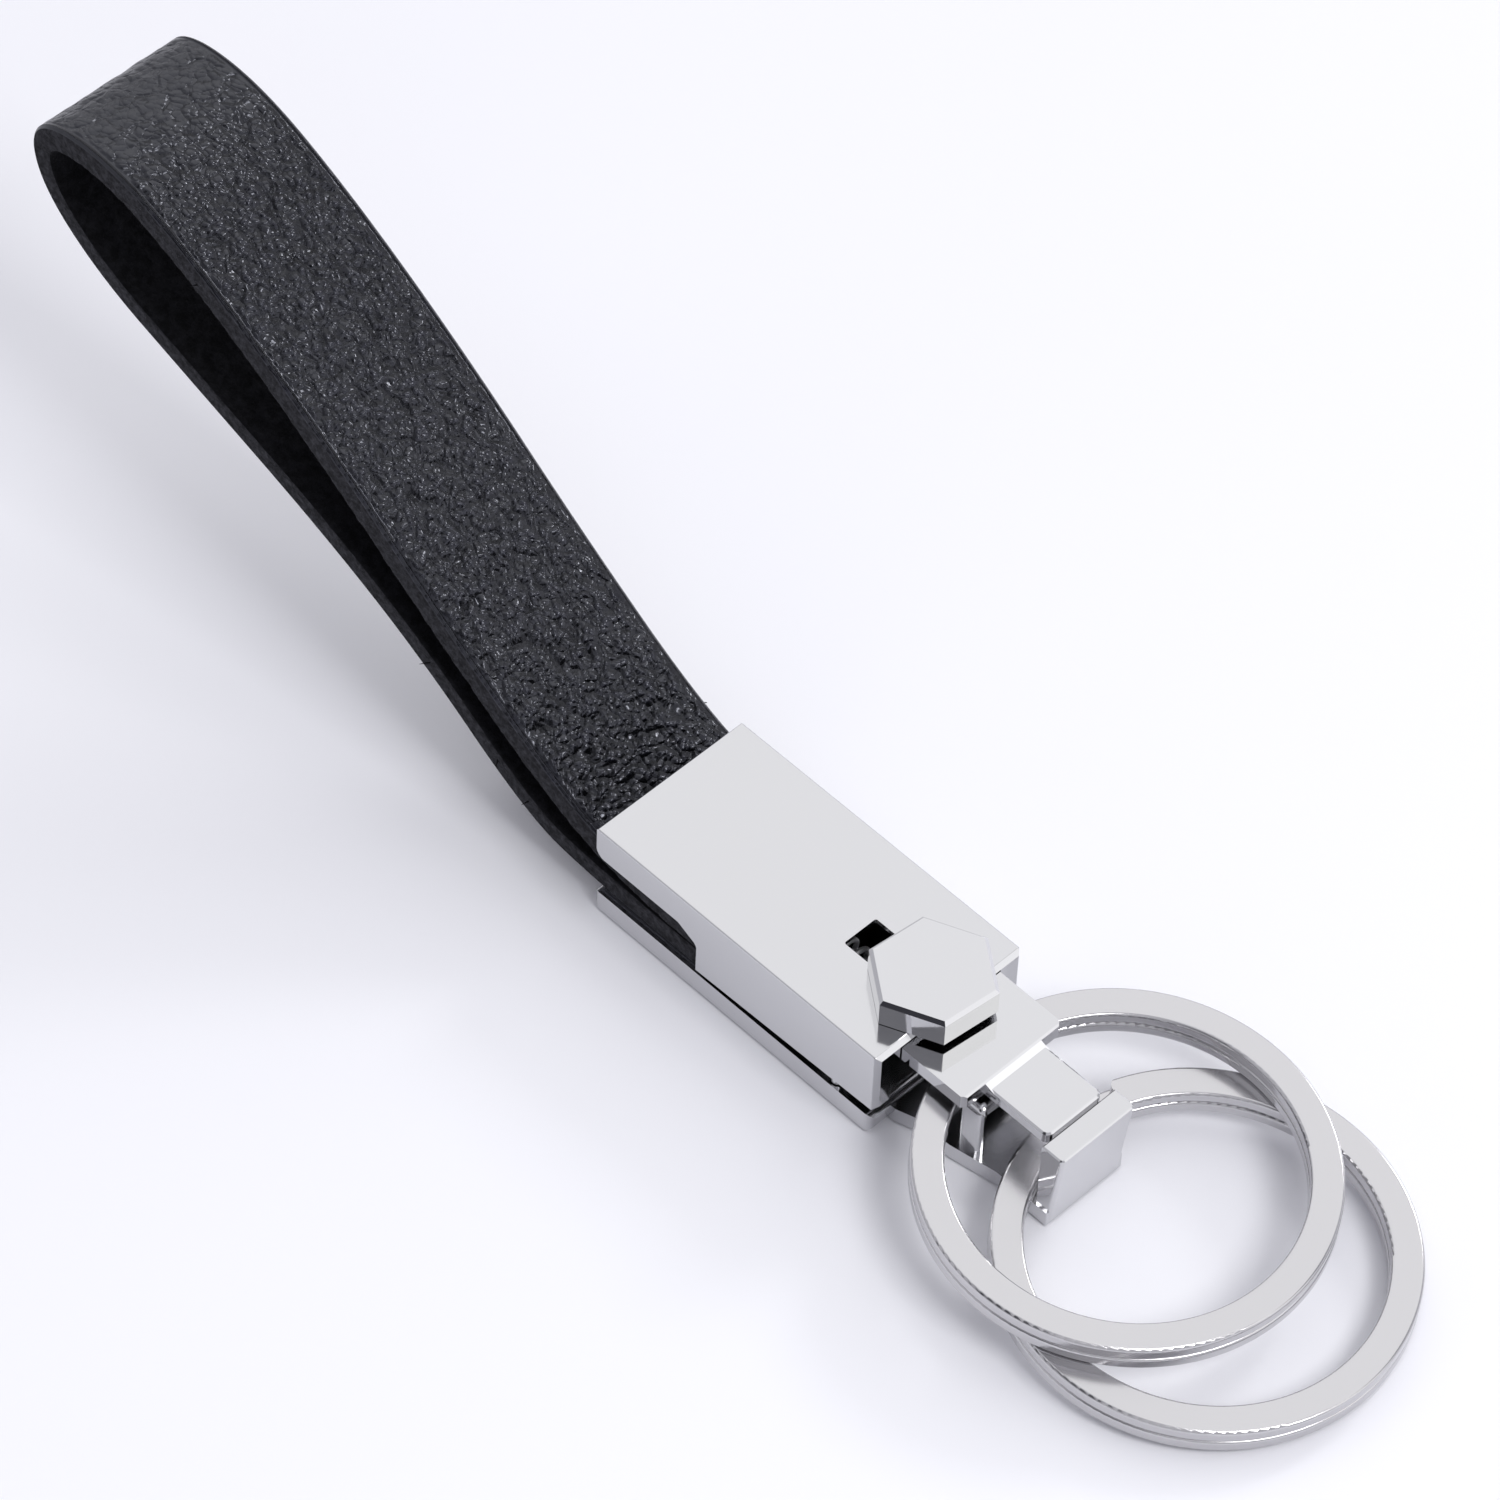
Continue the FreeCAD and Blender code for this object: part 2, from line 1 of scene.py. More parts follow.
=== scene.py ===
import bpy
import math
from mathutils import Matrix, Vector


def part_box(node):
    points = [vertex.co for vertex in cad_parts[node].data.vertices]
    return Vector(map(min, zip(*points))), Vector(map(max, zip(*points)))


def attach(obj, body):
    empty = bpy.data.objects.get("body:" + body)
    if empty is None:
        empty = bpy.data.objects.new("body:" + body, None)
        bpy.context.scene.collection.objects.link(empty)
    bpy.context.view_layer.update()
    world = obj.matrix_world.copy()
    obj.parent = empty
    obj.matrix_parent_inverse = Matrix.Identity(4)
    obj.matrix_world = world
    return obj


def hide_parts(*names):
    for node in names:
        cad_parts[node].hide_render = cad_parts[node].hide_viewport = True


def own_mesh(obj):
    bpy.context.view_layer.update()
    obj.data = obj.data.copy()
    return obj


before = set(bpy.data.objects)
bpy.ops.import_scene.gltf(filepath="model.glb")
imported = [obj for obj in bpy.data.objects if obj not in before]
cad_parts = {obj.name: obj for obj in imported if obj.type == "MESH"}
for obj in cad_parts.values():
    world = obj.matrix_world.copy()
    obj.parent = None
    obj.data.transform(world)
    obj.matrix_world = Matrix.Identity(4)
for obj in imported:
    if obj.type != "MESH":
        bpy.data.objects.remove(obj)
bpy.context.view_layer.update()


# ---- Table, light and camera ---------------------------------------------------------------
# The fob lies on a plain pale table top under a large diffuse tent of light. The tent is open
# on one side, so the plated faces show one long soft gradient and a few darker edges.
def linear(hex_colour):
    """An sRGB hex colour as linear RGBA."""
    channels = [int(hex_colour[i:i + 2], 16) / 255 for i in (1, 3, 5)]
    return [c / 12.92 if c <= 0.04045 else ((c + 0.055) / 1.055) ** 2.4 for c in channels] + [1.0]


def add_node(material, kind, settings=None, links=None):
    """A shader node: settings are its properties and unlinked inputs, links its linked inputs."""
    node = material.node_tree.nodes.new(kind)
    for name, value in (settings or {}).items():
        if isinstance(name, str) and hasattr(node, name):
            setattr(node, name, value)
        else:
            node.inputs[name].default_value = value
    for name, source in (links or {}).items():
        material.node_tree.links.new(source, node.inputs[name])
    return node


def start_material(name):
    """An empty node material and its output node."""
    material = bpy.data.materials.new(name)
    material.use_nodes = True
    material.node_tree.nodes.clear()
    return material, material.node_tree.nodes.new("ShaderNodeOutputMaterial")


# The top lies 0.2 mm under the base, so that no two faces share a plane.
table_size = 3.0
table_drop = 0.0002
bpy.ops.object.select_all(action="DESELECT")
bpy.ops.mesh.primitive_plane_add(size=table_size, location=(0, 0, -table_drop))
table = bpy.context.object
table.name = "table"

# Matt white lacquered board: almost even, with a very slight cool cast and no visible grain.
board, board_output = start_material("white_lacquered_board")
board_coords = add_node(board, "ShaderNodeTexCoord")
board_mottle = add_node(board, "ShaderNodeTexNoise", {"Scale": 6.0, "Detail": 2.0},
                        {"Vector": board_coords.outputs["Object"]})
board_tone = add_node(board, "ShaderNodeMix",
                      {"data_type": "RGBA", 6: linear("#EFEFF5"), 7: linear("#F4F4F8")},
                      {0: board_mottle.outputs["Fac"]})
board_shader = add_node(board, "ShaderNodeBsdfPrincipled", {"Roughness": 0.6, "Specular IOR Level": 0.25},
                        {"Base Color": board_tone.outputs[2]})
board.node_tree.links.new(board_shader.outputs[0], board_output.inputs["Surface"])
table.data.materials.append(board)

# The tent is a little cool. It is brightest behind the fob, where the level faces mirror it, with
# small bright patches ahead for the bevels and the button's front. The part over the rings, which
# the leather mirrors, is dimmer, so that the lamp draws its grain; the open side is dark.
world = bpy.data.worlds.new("light_tent")
bpy.context.scene.world = world
world.use_nodes = True
world.node_tree.nodes.clear()
tent_output = add_node(world, "ShaderNodeOutputWorld")
tent_direction = add_node(world, "ShaderNodeTexCoord").outputs["Generated"]
tent_cloth = add_node(world, "ShaderNodeRGB")
tent_cloth.outputs[0].default_value = (0.62, 0.62, 0.66, 1)
tent_light = tent_cloth.outputs[0]

# Round zones, each laid over the ones before it: its light, the direction of its middle, and the
# cosines of the angles at which its soft border starts and its full light is reached.
tent_zones = [
    ((1.16, 1.16, 1.18, 1), (-0.436, 0.457, 0.775), 0.72, 0.93),
    ((0.25, 0.25, 0.29, 1), (0.47, 0.33, 0.82), 0.84, 0.95),
    ((1.7, 1.7, 1.66, 1), (0.523, 0.356, 0.775), 0.990, 0.997),
    ((1.6, 1.6, 1.62, 1), (0.164, 0.457, 0.874), 0.985, 0.995),
    ((1.3, 1.3, 1.32, 1), (0.80, 0.42, 0.42), 0.93, 0.98),
    ((0.05, 0.05, 0.06, 1), (0.10, -0.80, 0.60), 0.93, 0.985),
]
for zone_light, zone_middle, border_cosine, full_cosine in tent_zones:
    facing = add_node(world, "ShaderNodeVectorMath",
                      {"operation": "DOT_PRODUCT", 1: Vector(zone_middle).normalized()},
                      {0: tent_direction})
    share = add_node(world, "ShaderNodeMapRange",
                     {"interpolation_type": "SMOOTHSTEP", "From Min": border_cosine,
                      "From Max": full_cosine},
                     {"Value": facing.outputs["Value"]})
    tent_light = add_node(world, "ShaderNodeMix", {"data_type": "RGBA", 7: zone_light},
                          {0: share.outputs["Result"], 6: tent_light}).outputs[2]
tent_glow = add_node(world, "ShaderNodeBackground", {"Strength": 1.0}, {"Color": tent_light})
world.node_tree.links.new(tent_glow.outputs[0], tent_output.inputs["Surface"])

# Two small soft lamps: one ahead draws the grain of the leather, one behind the fob's outline.
for lamp_name, lamp_place, lamp_size, lamp_power in (
    ("lamp_ahead", (0.45, 0.0, 0.60), 0.28, 2.2),
    ("lamp_behind", (-0.02, 0.62, 0.34), 0.14, 0.9),
):
    bpy.ops.object.light_add(type="AREA", location=lamp_place)
    lamp = bpy.context.object
    lamp.name = lamp_name
    lamp.data.size = lamp_size
    lamp.data.energy = lamp_power
    lamp.rotation_euler = (-lamp.location).to_track_quat("-Z", "Y").to_euler()

# The camera looks down from ahead and to one side, through a long lens.
camera_azimuth = math.radians(43.65)
camera_elevation = math.radians(50.83)
camera_roll = math.radians(2.57)
camera_distance = 0.57267
camera_target = Vector((-0.03197, 0.01153, 0.0))
toward_camera = Vector((
    math.sin(camera_azimuth) * math.cos(camera_elevation),
    -math.cos(camera_azimuth) * math.cos(camera_elevation),
    math.sin(camera_elevation),
))
bpy.ops.object.camera_add(location=camera_target + toward_camera * camera_distance)
camera = bpy.context.object
camera.data.lens = 180
camera.data.sensor_width = 36
camera.rotation_euler = (-toward_camera).to_track_quat("-Z", "Y").to_euler()
camera.rotation_euler.rotate_axis("Z", camera_roll)
bpy.context.scene.camera = camera
bpy.context.scene.view_settings.view_transform = "Standard"


# ---- Case: base frame with tongue, and cover -------------------------------------------------
# Two zinc pressure castings, polished and plated with nickel and bright chrome. The cover is
# pulled down onto the leather by screws from below; the base carries the tongue for the rings.
def plated_metal(name, tint, wave_depth, roughness):
    """Metal that is polished and then plated: a mirror with long shallow waves, a slight orange
    peel and faint wipe marks."""
    wave_length = 0.006
    peel_size = 0.0008
    peel_depth = 0.000004
    wipe_roughness = 0.05
    material, output = start_material(name)
    coords = add_node(material, "ShaderNodeTexCoord")
    waves = add_node(material, "ShaderNodeTexNoise", {"Scale": 1 / wave_length, "Detail": 1.0},
                     {"Vector": coords.outputs["Object"]})
    peel = add_node(material, "ShaderNodeTexNoise", {"Scale": 1 / peel_size, "Detail": 2.0},
                    {"Vector": coords.outputs["Object"]})
    long_bump = add_node(material, "ShaderNodeBump", {"Strength": 1.0, "Distance": wave_depth},
                         {"Height": waves.outputs["Fac"]})
    bump = add_node(material, "ShaderNodeBump", {"Strength": 0.25, "Distance": peel_depth},
                    {"Height": peel.outputs["Fac"], "Normal": long_bump.outputs["Normal"]})
    wipe = add_node(material, "ShaderNodeMapRange",
                    {"From Min": 0.35, "From Max": 0.7, "To Min": roughness,
                     "To Max": roughness + wipe_roughness},
                    {"Value": waves.outputs["Fac"]})
    shader = add_node(material, "ShaderNodeBsdfPrincipled",
                      {"Base Color": linear(tint), "Metallic": 1.0},
                      {"Roughness": wipe.outputs["Result"], "Normal": bump.outputs["Normal"]})
    material.node_tree.links.new(shader.outputs[0], output.inputs["Surface"])
    return material


def dress(node_names, material):
    """Gives the named nodes one material."""
    for node_name in node_names:
        for material_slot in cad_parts[node_name].material_slots:
            material_slot.material = material


# Chrome is a cold, nearly white mirror. On the large polished faces it is very slightly wavy.
case_chrome = plated_metal("bright_chrome_on_zinc", "#D0D0D2", 0.00002, 0.10)
dress(("base_frame", "top_cover"), case_chrome)


# ---- Slider with gate, and thumb button ------------------------------------------------------
# Two more zinc castings. The slider runs in the cover's channel and carries the gate over the
# rings; the six-sided button stands on it through the slot and is held by a screw from below.

# The same chrome over smaller faces, which come off the polishing wheel flatter and brighter.
slider_chrome = plated_metal("bright_chrome_on_slider", "#D1D1D3", 0.000015, 0.07)
dress(("slider_gate", "thumb_button"), slider_chrome)


# ---- Button screw, return spring, guide rod and cover screws ---------------------------------
# Small steel parts inside the case and under it. The spring is wound from 0.44 mm wire and lies
# on the rod, between the wall behind it and the slider's lug, which it pushes forward.

# Thin zinc plating on drawn and turned steel: pale and half matt, with no clear mirror.
wire_steel = plated_metal("zinc_plated_steel", "#E6E6E8", 0.000002, 0.55)
dress(("button_screw", "spring_guide_rod", "cover_screws"), wire_steel)

# The spring is made again here as one coil. On the fob it shortens towards the wall behind it as
# the slider is drawn back.
spring_low, spring_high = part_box("return_spring")
wire_radius = 0.00022
coil_radius = (spring_high[1] - spring_low[1]) / 2 - wire_radius
coil_turns = 8.5
steps_per_turn = 32
coil_steps = round(steps_per_turn * coil_turns)
coil_run = spring_high[0] - spring_low[0] - 2 * wire_radius
wire_sides = 12
bpy.ops.object.select_all(action="DESELECT")
bpy.ops.mesh.primitive_circle_add(vertices=wire_sides, radius=wire_radius,
                                  location=(coil_radius, 0, 0), rotation=(math.radians(90), 0, 0))
spring = bpy.context.object
spring.name = "return_spring_coil"
bpy.ops.object.transform_apply(location=True, rotation=True, scale=True)
bpy.ops.object.modifier_add(type="SCREW")
spring.modifiers["Screw"].angle = math.radians(360 * coil_turns)
spring.modifiers["Screw"].screw_offset = coil_run
spring.modifiers["Screw"].steps = coil_steps
spring.modifiers["Screw"].render_steps = coil_steps
bpy.ops.object.modifier_apply(modifier="Screw")
bpy.ops.object.mode_set(mode="EDIT")
bpy.ops.mesh.select_all(action="SELECT")
bpy.ops.mesh.fill_holes(sides=wire_sides)
bpy.ops.mesh.normals_make_consistent(inside=False)
bpy.ops.object.mode_set(mode="OBJECT")
spring.rotation_euler = (0, math.radians(90), 0)
spring.location = (spring_low[0] + wire_radius, 0, (spring_low[2] + spring_high[2]) / 2)
bpy.ops.object.transform_apply(location=True, rotation=True, scale=True)
bpy.ops.object.shade_smooth_by_angle(angle=math.radians(40))
spring.data.materials.append(wire_steel)
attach(spring, "case")
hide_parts("return_spring")

# At rest it fills the room between the wall and the lug but for a little play at either end.
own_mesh(spring)


# ---- Leather loop ------------------------------------------------------------------------------
# One strip of 2.1 mm full-grain cowhide, cut flat, folded over and clamped by both ends in the
# case. The grain is outside; the flesh side is black suede, and the cut edges are left raw.
strip_width = 0.0142
strip_thickness = 0.0021
strip_cell = 0.00031
clamped_gap = 0.00015
clamped_run = 0.0058
base_thickness = 0.0020
grain_edge_radius = 0.0004
cover_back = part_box("top_cover")[0][0]
clamped_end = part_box("leather_strap")[1][0]
lower_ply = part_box("base_frame")[0][2] + base_thickness + strip_thickness / 2
upper_ply = lower_ply + strip_thickness + clamped_gap

# The fold line is the middle of the leather's thickness, from the clamped end up the top ply,
# round the loop and back along the lower one. Each free point is (distance behind the cover,
# height above that ply where it is clamped).
upper_rise = [
    (0.0041, 0.0023), (0.0171, 0.0108), (0.0303, 0.0206),
    (0.0429, 0.0283), (0.0532, 0.0326), (0.0616, 0.0316),
]
lower_rise = [
    (0.0612, 0.02815), (0.0549, 0.02305), (0.0455, 0.01975), (0.0305, 0.01455),
    (0.0192, 0.00915), (0.0082, 0.00145), (0.0019, 0.0),
]
fold_route = [(clamped_end, upper_ply), (clamped_end - clamped_run, upper_ply)]
fold_route += [(cover_back - behind, upper_ply + above) for behind, above in upper_rise]
fold_route += [(cover_back - behind, lower_ply + above) for behind, above in lower_rise]
fold_route += [(clamped_end, lower_ply)]

# It is drawn flat in the plane z = 0 and stood up with the strip once that is bent.
bpy.ops.object.select_all(action="DESELECT")
bpy.ops.curve.primitive_nurbs_path_add(location=(0, 0, 0))
fold_line = bpy.context.object
fold_line.name = "fold_line"
fold_line.data.splines.remove(fold_line.data.splines[0])
fold_spline = fold_line.data.splines.new("NURBS")
fold_spline.points.add(len(fold_route) - 1)
for point, (x, z) in zip(fold_spline.points, fold_route):
    point.co = (x, z, 0, 1)
fold_spline.order_u = 3
fold_spline.use_endpoint_u = True
fold_line.data.dimensions = "2D"
fold_line.data.resolution_u = 32
fold_mesh = bpy.data.meshes.new_from_object(fold_line)
strip_length = sum((fold_mesh.vertices[e.vertices[0]].co - fold_mesh.vertices[e.vertices[1]].co).length
                   for e in fold_mesh.edges)

# The strip as it is cut: flat, its length along X and its width along Z, with the grain side at
# the low Y.
bpy.ops.object.select_all(action="DESELECT")
bpy.ops.mesh.primitive_grid_add(x_subdivisions=round(strip_length / strip_cell),
                                y_subdivisions=round(strip_width / strip_cell),
                                size=1, location=(0, 0, 0), rotation=(math.radians(90), 0, 0))
strap = bpy.context.object
strap.name = "folded_leather_strap"
strap.scale = (strip_length, strip_width, 1)
strap.location = (strip_length / 2, 0, 0)
bpy.ops.object.transform_apply(location=True, rotation=True, scale=True)
bpy.ops.object.modifier_add(type="SOLIDIFY")
strap.modifiers["Solidify"].thickness = strip_thickness
strap.modifiers["Solidify"].offset = 0
bpy.ops.object.modifier_apply(modifier="Solidify")

grain_level = -strip_thickness / 2
half_width = strip_width / 2
hair = 0.000001


def edge_ends(edge):
    """The two end points of one of the strip's edges."""
    return [strap.data.vertices[i].co for i in edge.vertices]


def on_grain_border(point):
    """Whether a point of the strip lies on a long border of its grain side."""
    return point.y < grain_level + hair and abs(abs(point.z) - half_width) < hair


# The raw edge gets cells of its own, and the grain side's border is rolled over by the cutter.
bpy.ops.object.mode_set(mode="EDIT")
bpy.ops.mesh.select_mode(type="FACE")
bpy.ops.mesh.select_all(action="DESELECT")
bpy.ops.object.mode_set(mode="OBJECT")
for face in strap.data.polygons:
    face.select = abs(face.normal.y) < 0.5
bpy.ops.object.mode_set(mode="EDIT")
bpy.ops.mesh.select_mode(type="EDGE")
bpy.ops.object.mode_set(mode="OBJECT")
for edge in strap.data.edges:
    first, last = edge_ends(edge)
    edge.select = edge.select and abs(first.y - last.y) > strip_thickness / 2
bpy.ops.object.mode_set(mode="EDIT")
bpy.ops.mesh.subdivide(number_cuts=4)
bpy.ops.mesh.select_all(action="DESELECT")
bpy.ops.object.mode_set(mode="OBJECT")
for edge in strap.data.edges:
    edge.select = all(on_grain_border(end) for end in edge_ends(edge))
bpy.ops.object.mode_set(mode="EDIT")
bpy.ops.mesh.bevel(offset=grain_edge_radius, segments=3, profile=0.5)
bpy.ops.object.mode_set(mode="OBJECT")

# A few loose fibres stand out of the cut edges: (along the strip, side, length, lean in degrees).
# The middle of each is 0.35 of its length outside the edge, so its root is in the leather.
loose_fibres = [
    (0.0152, -1, 0.0009, 30), (strip_length - 0.0318, 1, 0.0010, -25),
    (strip_length - 0.0226, 1, 0.0006, 35), (strip_length - 0.0189, 1, 0.0008, -10),
    (0.0470, -1, 0.0006, -30), (0.0625, 1, 0.0007, 20),
]
fibre_radius = 0.00009
fibre_depth = 0.0003
fibre_middle = 0.35
for along, side, fibre_length, lean in loose_fibres:
    bpy.ops.object.select_all(action="DESELECT")
    fibre_across = side * (half_width + fibre_length * fibre_middle)
    bpy.ops.mesh.primitive_cone_add(vertices=6, radius1=fibre_radius, radius2=fibre_radius / 4,
                                    depth=fibre_length, location=(along, fibre_depth, fibre_across),
                                    rotation=(math.radians(90 - 90 * side), math.radians(lean), 0))
    strap.select_set(True)
    bpy.context.view_layer.objects.active = strap
    bpy.ops.object.join()

# Real distances on the strip as it was cut: along it, across it, and through its thickness.
flat_place = strap.data.attributes.new("flat_place", "FLOAT_VECTOR", "POINT")
for vertex, place in zip(strap.data.vertices, flat_place.data):
    place.vector = (vertex.co.x, vertex.co.z, vertex.co.y)

# The dye and finish go a little way round the rolled border; below that the edge is raw.
finish_limit = grain_level + grain_edge_radius * 0.7
grain_index, edge_index, flesh_index = range(3)
for face in strap.data.polygons:
    if face.center.y < finish_limit:
        face.material_index = grain_index
    elif abs(face.normal.y) < 0.5:
        face.material_index = edge_index
    else:
        face.material_index = flesh_index
grain_limit = half_width - 2 * grain_edge_radius
raw_vertices = [v.index for v in strap.data.vertices if v.co.y > grain_level + grain_edge_radius]
grain_vertices = [v.index for v in strap.data.vertices
                  if v.co.y < grain_level + hair and abs(v.co.z) < grain_limit]
strap.vertex_groups.new(name="raw_leather").add(raw_vertices, 1.0, "REPLACE")
strap.vertex_groups.new(name="grain_leather").add(grain_vertices, 1.0, "REPLACE")

bpy.ops.object.modifier_add(type="CURVE")
strap.modifiers["Curve"].object = fold_line
strap.modifiers["Curve"].deform_axis = "POS_X"
bpy.ops.object.modifier_apply(modifier="Curve")
strap.rotation_euler = (math.radians(90), 0, 0)
bpy.ops.object.transform_apply(location=True, rotation=True, scale=True)
bpy.data.objects.remove(fold_line)

# The flesh side and the cut edges are ragged: the fibres stand up about 0.1 mm, unevenly. The
# grain side swells between its creases by a little less.
for group_name, texture_kind, lump, swell in (
    ("raw_leather", "CLOUDS", 0.0007, 0.00016),
    ("grain_leather", "VORONOI", 0.0015, 0.00012),
):
    lumps = bpy.data.textures.new(group_name + "_lumps", texture_kind)
    lumps.noise_scale = lump
    bpy.ops.object.modifier_add(type="DISPLACE")
    strap.modifiers["Displace"].texture = lumps
    strap.modifiers["Displace"].texture_coords = "LOCAL"
    strap.modifiers["Displace"].vertex_group = group_name
    strap.modifiers["Displace"].strength = swell
    bpy.ops.object.modifier_apply(modifier="Displace")
bpy.ops.object.shade_smooth()

# Full-grain cowhide, drum-dyed black and lightly finished: beads of grain 0.6 mm across, standing
# in pebbles of about 1.6 mm, with thin creases wandering between them. Round the fold the grain
# is stretched nearly flat and only the creases show. Each bead catches the lamp as a short glint.
bead_size = 0.0006
pebble_size = 0.0016
crease_spacing = 0.0024
drift_size = 0.0012
drift_reach = 0.0006
grain_relief = 0.00062
fold_flat_reach = 0.006
fold_full_reach = 0.018
border_start = half_width - 0.0010
border_end = half_width - 0.0005
cowhide, cowhide_output = start_material("black_full_grain_cowhide")
hide_place = add_node(cowhide, "ShaderNodeAttribute", {"attribute_name": "flat_place"}).outputs["Vector"]
hide_drift = add_node(cowhide, "ShaderNodeTexNoise", {"Scale": 1 / drift_size, "Detail": 2.0},
                      {"Vector": hide_place})
hide_shift = add_node(cowhide, "ShaderNodeVectorMath",
                      {"operation": "MULTIPLY_ADD", 1: (drift_reach, drift_reach, 0)},
                      {0: hide_drift.outputs["Color"], 2: hide_place})
beads = add_node(cowhide, "ShaderNodeTexVoronoi", {"feature": "F1", "Scale": 1 / bead_size},
                 {"Vector": hide_shift.outputs[0]})
pebbles = add_node(cowhide, "ShaderNodeTexVoronoi",
                   {"feature": "SMOOTH_F1", "Scale": 1 / pebble_size, "Smoothness": 0.4},
                   {"Vector": hide_shift.outputs[0]})
creases = add_node(cowhide, "ShaderNodeTexVoronoi",
                   {"feature": "DISTANCE_TO_EDGE", "Scale": 1 / crease_spacing},
                   {"Vector": hide_shift.outputs[0]})

# Beads and pebbles are domes: they fall off as the square of the distance and meet in a valley.
bead_fall = add_node(cowhide, "ShaderNodeMath", {"operation": "POWER", 1: 2.0},
                     {0: beads.outputs["Distance"]})
pebble_fall = add_node(cowhide, "ShaderNodeMath", {"operation": "POWER", 1: 2.0},
                       {0: pebbles.outputs["Distance"]})
grain_fall = add_node(cowhide, "ShaderNodeMath", {"operation": "MULTIPLY_ADD", 1: 1.6},
                      {0: pebble_fall.outputs[0], 2: bead_fall.outputs[0]})
grain_height = add_node(cowhide, "ShaderNodeMath", {"operation": "SUBTRACT", 0: 1.0},
                        {1: grain_fall.outputs[0]})
crease_depth = add_node(cowhide, "ShaderNodeMapRange",
                        {"From Min": 0.0, "From Max": 0.10, "To Min": 0.0, "To Max": 0.35},
                        {"Value": creases.outputs["Distance"]})

# Both fade towards the middle of the strip's length, where the fold is.
hide_split = add_node(cowhide, "ShaderNodeSeparateXYZ", links={"Vector": hide_place})
hide_from_fold = add_node(cowhide, "ShaderNodeMath", {"operation": "SUBTRACT", 1: strip_length / 2},
                          {0: hide_split.outputs["X"]})
hide_fold_reach = add_node(cowhide, "ShaderNodeMath", {"operation": "ABSOLUTE"},
                           {0: hide_from_fold.outputs[0]})
grain_strength, crease_strength = [
    add_node(cowhide, "ShaderNodeMapRange",
             {"interpolation_type": "SMOOTHSTEP", "From Min": fold_flat_reach,
              "From Max": fold_full_reach, "To Min": strength_at_fold, "To Max": 1.0},
             {"Value": hide_fold_reach.outputs[0]})
    for strength_at_fold in (0.3, 0.4)
]
grain_here = add_node(cowhide, "ShaderNodeMath", {"operation": "MULTIPLY"},
                      {0: grain_height.outputs[0], 1: grain_strength.outputs["Result"]})
crease_here = add_node(cowhide, "ShaderNodeMath", {"operation": "MULTIPLY"},
                       {0: crease_depth.outputs["Result"], 1: crease_strength.outputs["Result"]})
hide_height = add_node(cowhide, "ShaderNodeMath", {"operation": "ADD"},
                       {0: grain_here.outputs[0], 1: crease_here.outputs[0]})

# The rolled border is pressed nearly smooth.
hide_across = add_node(cowhide, "ShaderNodeMath", {"operation": "ABSOLUTE"},
                       {0: hide_split.outputs["Y"]})
hide_border = add_node(cowhide, "ShaderNodeMapRange",
                       {"interpolation_type": "SMOOTHSTEP", "From Min": border_start,
                        "From Max": border_end, "To Min": 1.0, "To Max": 0.08},
                       {"Value": hide_across.outputs[0]})
hide_relief = add_node(cowhide, "ShaderNodeMath", {"operation": "MULTIPLY"},
                       {0: hide_height.outputs[0], 1: hide_border.outputs["Result"]})
hide_bump = add_node(cowhide, "ShaderNodeBump", {"Strength": 1.0, "Distance": grain_relief},
                     {"Height": hide_relief.outputs[0]})
# The colour is painted darker down in the valleys and creases of the grain and lighter on the bead tops:
# painted shade in its hollows, over a faintly blue black.
painted_shade_by_height = add_node(cowhide, "ShaderNodeMapRange", {"From Min": 0.6, "From Max": 1.3},
                     {"Value": hide_height.outputs[0]})
hide_colour_with_painted_shade = add_node(cowhide, "ShaderNodeMix",
                       {"data_type": "RGBA", 6: linear("#010102"), 7: linear("#0C0C16")},
                       {0: painted_shade_by_height.outputs["Result"]})
hide_polish = add_node(cowhide, "ShaderNodeMapRange",
                       {"From Min": 0.4, "From Max": 1.0, "To Min": 0.30, "To Max": 0.22},
                       {"Value": grain_strength.outputs["Result"]})
hide_shader = add_node(cowhide, "ShaderNodeBsdfPrincipled",
                       {"Specular IOR Level": 0.80, "Specular Tint": (0.86, 0.88, 1.0, 1)},
                       {"Base Color": hide_colour_with_painted_shade.outputs[2], "Roughness": hide_polish.outputs["Result"],
                        "Normal": hide_bump.outputs["Normal"]})
cowhide.node_tree.links.new(hide_shader.outputs[0], cowhide_output.inputs["Surface"])


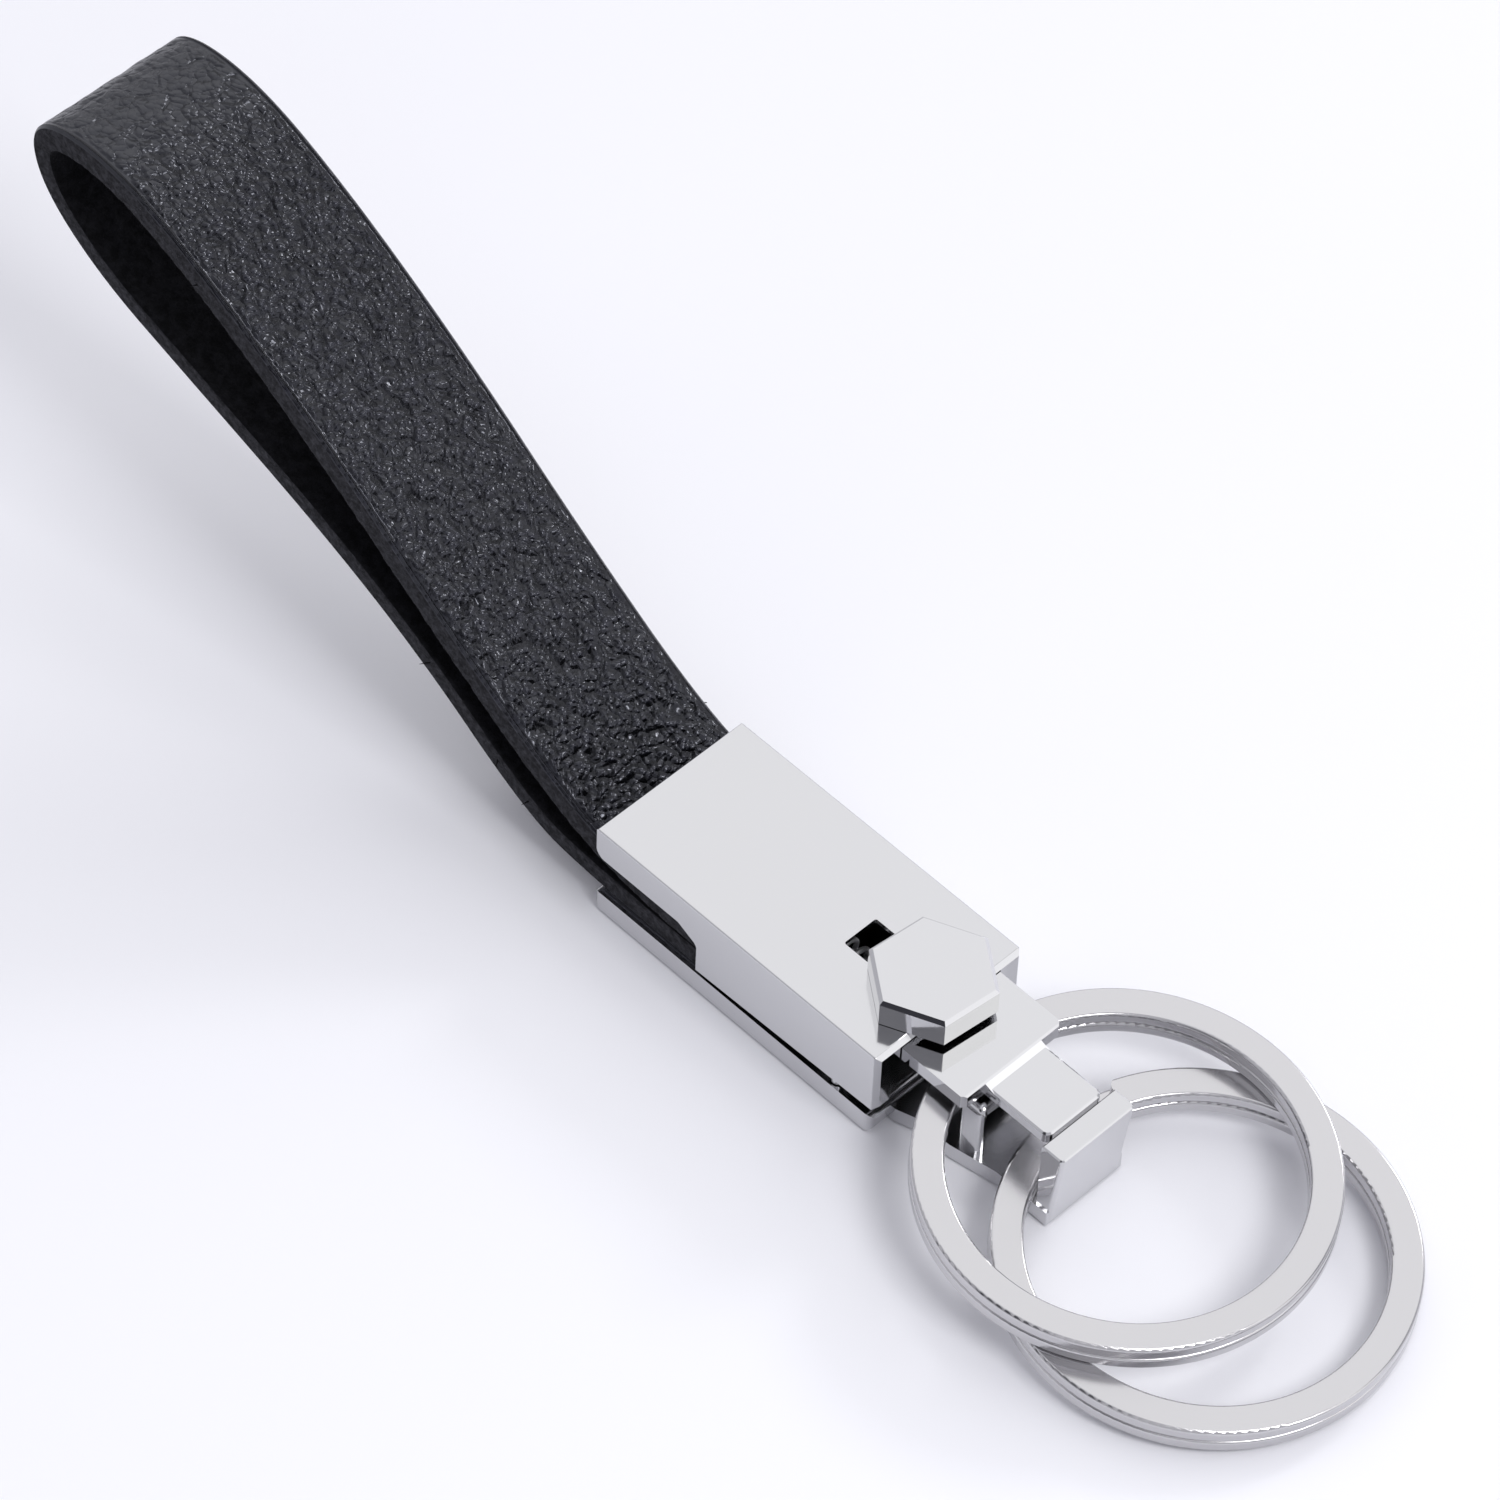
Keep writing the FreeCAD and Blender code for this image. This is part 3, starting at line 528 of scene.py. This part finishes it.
def raw_hide(name, dark, light, clump_size):
    """Undressed leather fibre, dyed black: very matt, with loose clumps and a faint nap."""
    clump_relief = 0.0003
    fibre_size = 0.00012
    material, output = start_material(name)
    coords = add_node(material, "ShaderNodeTexCoord")
    clumps = add_node(material, "ShaderNodeTexNoise",
                      {"Scale": 1 / clump_size, "Detail": 4.0, "Roughness": 0.7},
                      {"Vector": coords.outputs["Object"]})
    fibres = add_node(material, "ShaderNodeTexNoise", {"Scale": 1 / fibre_size, "Detail": 2.0},
                      {"Vector": coords.outputs["Object"]})
    tone = add_node(material, "ShaderNodeMapRange", {"From Min": 0.4, "From Max": 0.72},
                    {"Value": clumps.outputs["Fac"]})
    colour = add_node(material, "ShaderNodeMix",
                      {"data_type": "RGBA", 6: linear(dark), 7: linear(light)},
                      {0: tone.outputs["Result"]})
    bump = add_node(material, "ShaderNodeBump", {"Strength": 1.0, "Distance": clump_relief},
                    {"Height": clumps.outputs["Fac"]})
    fine_bump = add_node(material, "ShaderNodeBump", {"Strength": 0.6, "Distance": clump_relief / 4},
                         {"Height": fibres.outputs["Fac"], "Normal": bump.outputs["Normal"]})
    shader = add_node(material, "ShaderNodeBsdfPrincipled",
                      {"Roughness": 0.95, "Specular IOR Level": 0.06, "Sheen Weight": 0.02,
                       "Sheen Roughness": 0.5},
                      {"Base Color": colour.outputs[2], "Normal": fine_bump.outputs["Normal"]})
    material.node_tree.links.new(shader.outputs[0], output.inputs["Surface"])
    return material


# The cut edge is a little greyer than the suede, because the dye has not gone right through.
strap.data.materials.append(cowhide)
strap.data.materials.append(raw_hide("raw_cut_leather_edge", "#232326", "#434348", 0.0006))
strap.data.materials.append(raw_hide("black_suede_flesh_side", "#0F0F11", "#202024", 0.0009))
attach(strap, "case")
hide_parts("leather_strap")


# ---- Split rings -------------------------------------------------------------------------------
# Two flat split rings, each one steel strip wound into two coils with a step between them. They
# lie on each other, threaded on the case's tongue, and the gate keeps them there.

# Nickel over barrelled strip: a softer and slightly warmer mirror than the chrome.
ring_nickel = plated_metal("nickel_plated_strip", "#CBCACC", 0.000003, 0.18)
dress(("ring_inner", "ring_outer"), ring_nickel)
